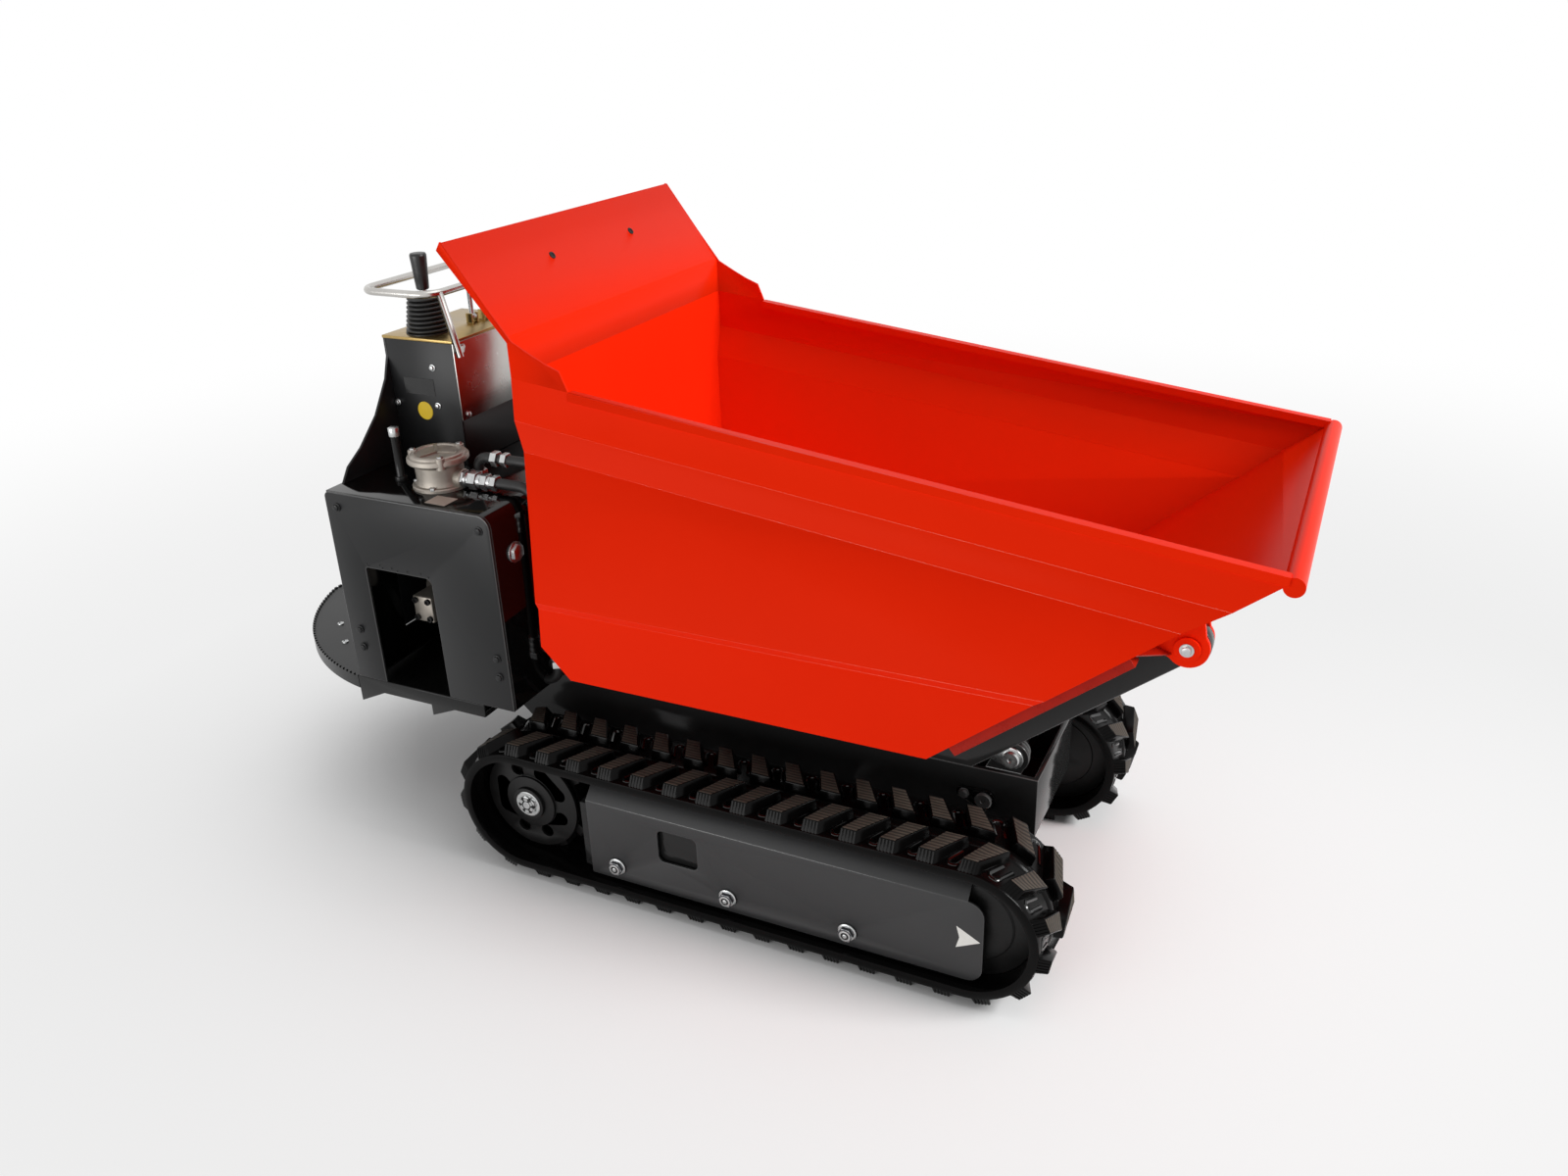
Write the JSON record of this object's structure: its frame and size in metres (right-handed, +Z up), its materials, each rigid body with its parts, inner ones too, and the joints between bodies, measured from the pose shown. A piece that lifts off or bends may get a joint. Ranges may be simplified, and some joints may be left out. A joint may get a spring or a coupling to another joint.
{
  "type": "tracked power carrier",
  "caption": "Walk-behind tracked dumper: rubber crawler tracks, engine bay with control console, parallel-link high lift and a hydraulically tipped steel skip.",
  "frame": {"origin": "on the ground, midway between the two tracks and midway between sprocket and idler axles", "axes": "+X forward, the end that the skip tips over; +Y to the left; +Z up"},
  "size_m": [2.168, 0.776, 1.284],
  "materials": {
    "chassis_paint": "gloss black powder coat",
    "bay_paint": "satin charcoal powder coat",
    "skip_paint": "gloss orange-red paint",
    "track_rubber": "worn matt rubber",
    "soft_rubber": "smooth satin rubber",
    "cover_paint": "satin grey paint",
    "zinc": "zinc plated",
    "stainless": "brushed stainless steel",
    "chrome_rod": "hard chrome",
    "cast": "as cast",
    "wheel_iron": "painted black",
    "top_metal": "olive gold passivated",
    "engine_metal": "cast, dusty",
    "black_plastic": "moulded"
  },
  "bodies": {
    "chassis": {"chassis_frame": "chassis_paint", "track_frame_right": "chassis_paint", "track_frame_left": "chassis_paint", "track_covers": "cover_paint", "track_belt_right": "track_rubber", "track_belt_left": "track_rubber", "roller_axles": "zinc", "drive_motors": "wheel_iron", "idler_yokes": "chassis_paint", "base_deck": "chassis_paint", "step_platform": "chassis_paint", "bay_shell": "bay_paint", "bay_right_plate": "bay_paint", "bay_left_plate": "bay_paint", "hydraulic_tank": "bay_paint", "sight_plug": "zinc", "return_filter": "cast", "filter_lid": "cast", "fasteners": "zinc", "filler_tube": "zinc", "return_hoses": "soft_rubber", "gear_pump": "engine_metal", "engine_block": "engine_metal", "fuel_tank": "black_plastic", "muffler": "wheel_iron", "pedestal_plate": "bay_paint", "console_shell": "bay_paint", "console_top": "top_metal", "console_front": "stainless", "grab_handle": "stainless", "lever_bellows": "soft_rubber", "link_pins": "zinc"},
    "upper_link": {"upper_link": "chassis_paint"},
    "lower_link": {"lower_link": "chassis_paint"},
    "carrier": {"carrier_frame": "chassis_paint", "carrier_pins": "zinc", "rest_pads": "soft_rubber"},
    "lift_barrel": {"lift_barrel": "chassis_paint"},
    "lift_rod": {"lift_rod": "chrome_rod"},
    "tip_barrel": {"tip_barrel": "chassis_paint"},
    "tip_rod": {"tip_rod": "chrome_rod"},
    "skip": {"skip_shell": "skip_paint", "spill_guard": "skip_paint", "pivot_ears": "skip_paint"},
    "lever_gimbal": {"lever_gimbal": "zinc"},
    "drive_lever": {"drive_lever": "zinc", "lever_grip": "black_plastic"},
    "lift_lever": {"lift_lever": "black_plastic"},
    "tip_lever": {"tip_lever": "black_plastic"},
    "sprocket_right": {"sprocket_right": "wheel_iron"},
    "idler_right": {"idler_right": "wheel_iron"},
    "roller_right_rear": {"roller_right_rear": "wheel_iron"},
    "roller_right_mid": {"roller_right_mid": "wheel_iron"},
    "roller_right_front": {"roller_right_front": "wheel_iron"},
    "sprocket_left": {"sprocket_left": "wheel_iron"},
    "idler_left": {"idler_left": "wheel_iron"},
    "roller_left_rear": {"roller_left_rear": "wheel_iron"},
    "roller_left_mid": {"roller_left_mid": "wheel_iron"},
    "roller_left_front": {"roller_left_front": "wheel_iron"}
  },
  "joints": [
    {"name": "lift", "type": "hinge", "parent": "chassis", "child": "upper_link", "pos_m": [0.47, 0, 0.362], "axis": [0, 1, 0], "range_deg": [0, 90]},
    {"name": "lower_link_swing", "type": "hinge", "parent": "chassis", "child": "lower_link", "pos_m": [0.425, 0, 0.266], "axis": [0, 1, 0], "range_deg": [-1, 91]},
    {"name": "carrier_level", "type": "hinge", "parent": "upper_link", "child": "carrier", "pos_m": [-0.08787, 0, 0.41081], "axis": [0, 1, 0], "range_deg": [-91, 1]},
    {"name": "skip_tip", "type": "hinge", "parent": "carrier", "child": "skip", "pos_m": [0.76986, 0, 0.72213], "axis": [0, 1, 0], "range_deg": [0, 75]},
    {"name": "lift_barrel_swing", "type": "hinge", "parent": "chassis", "child": "lift_barrel", "pos_m": [-0.1, 0, 0.245], "axis": [0, 1, 0], "range_deg": [-1, 4]},
    {"name": "lift_rod_slide", "type": "slide", "parent": "lift_barrel", "child": "lift_rod", "axis": [0.979, 0, 0.2037], "range_m": [-0.005, 0.15976]},
    {"name": "tip_barrel_swing", "type": "hinge", "parent": "carrier", "child": "tip_barrel", "pos_m": [0.42, 0, 0.36], "axis": [0, 1, 0], "range_deg": [-12, 1]},
    {"name": "tip_rod_slide", "type": "slide", "parent": "tip_barrel", "child": "tip_rod", "axis": [0.6497, 0, 0.7602], "range_m": [-0.005, 0.1238]},
    {"name": "drive_lever_side", "type": "hinge", "parent": "chassis", "child": "lever_gimbal", "pos_m": [-0.789, -0.07, 1.06], "axis": [1, 0, 0], "range_deg": [-6, 6], "stiffness_Nm_per_rad": 6},
    {"name": "drive_lever_fore", "type": "hinge", "parent": "lever_gimbal", "child": "drive_lever", "pos_m": [-0.789, -0.07, 1.06], "axis": [0, 1, 0], "range_deg": [-12, 12], "stiffness_Nm_per_rad": 6},
    {"name": "lift_lever_swing", "type": "hinge", "parent": "chassis", "child": "lift_lever", "pos_m": [-0.753, 0.025, 1.055], "axis": [0, 1, 0], "range_deg": [-20, 20], "stiffness_Nm_per_rad": 3},
    {"name": "tip_lever_swing", "type": "hinge", "parent": "chassis", "child": "tip_lever", "pos_m": [-0.753, 0.065, 1.055], "axis": [0, 1, 0], "range_deg": [-20, 20], "stiffness_Nm_per_rad": 3},
    {"name": "sprocket_right_spin", "type": "hinge", "parent": "chassis", "child": "sprocket_right", "pos_m": [-0.468, -0.298, 0.15605], "axis": [0, 1, 0], "continuous": true},
    {"name": "idler_right_spin", "type": "hinge", "parent": "chassis", "child": "idler_right", "pos_m": [0.468, -0.298, 0.15605], "axis": [0, 1, 0], "continuous": true},
    {"name": "roller_right_rear_spin", "type": "hinge", "parent": "chassis", "child": "roller_right_rear", "pos_m": [-0.247, -0.298, 0.0803], "axis": [0, 1, 0], "continuous": true},
    {"name": "roller_right_mid_spin", "type": "hinge", "parent": "chassis", "child": "roller_right_mid", "pos_m": [0, -0.298, 0.0803], "axis": [0, 1, 0], "continuous": true},
    {"name": "roller_right_front_spin", "type": "hinge", "parent": "chassis", "child": "roller_right_front", "pos_m": [0.247, -0.298, 0.0803], "axis": [0, 1, 0], "continuous": true},
    {"name": "sprocket_left_spin", "type": "hinge", "parent": "chassis", "child": "sprocket_left", "pos_m": [-0.468, 0.298, 0.15605], "axis": [0, 1, 0], "continuous": true},
    {"name": "idler_left_spin", "type": "hinge", "parent": "chassis", "child": "idler_left", "pos_m": [0.468, 0.298, 0.15605], "axis": [0, 1, 0], "continuous": true},
    {"name": "roller_left_rear_spin", "type": "hinge", "parent": "chassis", "child": "roller_left_rear", "pos_m": [-0.247, 0.298, 0.0803], "axis": [0, 1, 0], "continuous": true},
    {"name": "roller_left_mid_spin", "type": "hinge", "parent": "chassis", "child": "roller_left_mid", "pos_m": [0, 0.298, 0.0803], "axis": [0, 1, 0], "continuous": true},
    {"name": "roller_left_front_spin", "type": "hinge", "parent": "chassis", "child": "roller_left_front", "pos_m": [0.247, 0.298, 0.0803], "axis": [0, 1, 0], "continuous": true}
  ],
  "couplings": [
    {"joint": "lower_link_swing", "follows": "lift", "ratio": 1},
    {"joint": "carrier_level", "follows": "lift", "ratio": -1},
    {"joint": "lift_barrel_swing", "follows": "lift", "ratio": 0.019257},
    {"joint": "lift_rod_slide", "follows": "lift", "m_per_rad": 0.098524},
    {"joint": "tip_barrel_swing", "follows": "skip_tip", "ratio": -0.12671},
    {"joint": "tip_rod_slide", "follows": "skip_tip", "m_per_rad": 0.090759},
    {"joint": "idler_right_spin", "follows": "sprocket_right_spin", "ratio": 1},
    {"joint": "roller_right_rear_spin", "follows": "sprocket_right_spin", "ratio": 3.1513},
    {"joint": "roller_right_mid_spin", "follows": "sprocket_right_spin", "ratio": 3.1513},
    {"joint": "roller_right_front_spin", "follows": "sprocket_right_spin", "ratio": 3.1513},
    {"joint": "idler_left_spin", "follows": "sprocket_left_spin", "ratio": 1},
    {"joint": "roller_left_rear_spin", "follows": "sprocket_left_spin", "ratio": 3.1513},
    {"joint": "roller_left_mid_spin", "follows": "sprocket_left_spin", "ratio": 3.1513},
    {"joint": "roller_left_front_spin", "follows": "sprocket_left_spin", "ratio": 3.1513}
  ]
}
